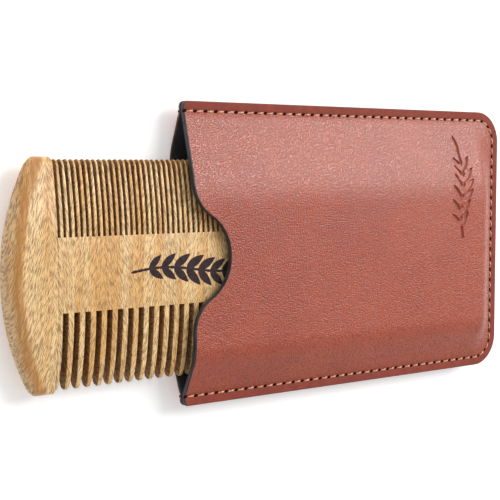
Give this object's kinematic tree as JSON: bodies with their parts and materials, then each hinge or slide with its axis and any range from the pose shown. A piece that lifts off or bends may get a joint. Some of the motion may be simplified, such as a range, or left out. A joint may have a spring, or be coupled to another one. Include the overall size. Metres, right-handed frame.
{
  "type": "beard comb",
  "caption": "Double-sided wooden beard comb with fine and coarse teeth between bowed end guards, sliding in a stitched leather sleeve with a thumb notch.",
  "frame": {"origin": "centre of the bottom of the whole object's box, with the comb half drawn out and the sleeve lying on its back panel", "axes": "+X from the sleeve's mouth to its closed end, so the comb comes out towards -X; +Y towards the comb's fine teeth; +Z out of the front panel, which has the thumb notch"},
  "size_m": [0.162, 0.0764, 0.012],
  "materials": {
    "wood": "hand-polished, satin",
    "leather": "smooth, fine pebble grain, soft sheen",
    "lining": "matt suede",
    "thread": "waxed twist"
  },
  "bodies": {
    "sleeve": {"front_leather_panel": "leather", "front_lining": "lining", "back_leather_panel": "leather", "back_lining": "lining", "needle_thread": "thread", "bobbin_thread": "thread"},
    "comb": {"comb_centre_board": "wood", "outer_end_block": "wood", "inner_end_block": "wood"}
  },
  "joints": [
    {"name": "comb_slide", "type": "slide", "parent": "sleeve", "child": "comb", "axis": [1, 0, 0], "range_m": [-0.06, 0.052]}
  ]
}
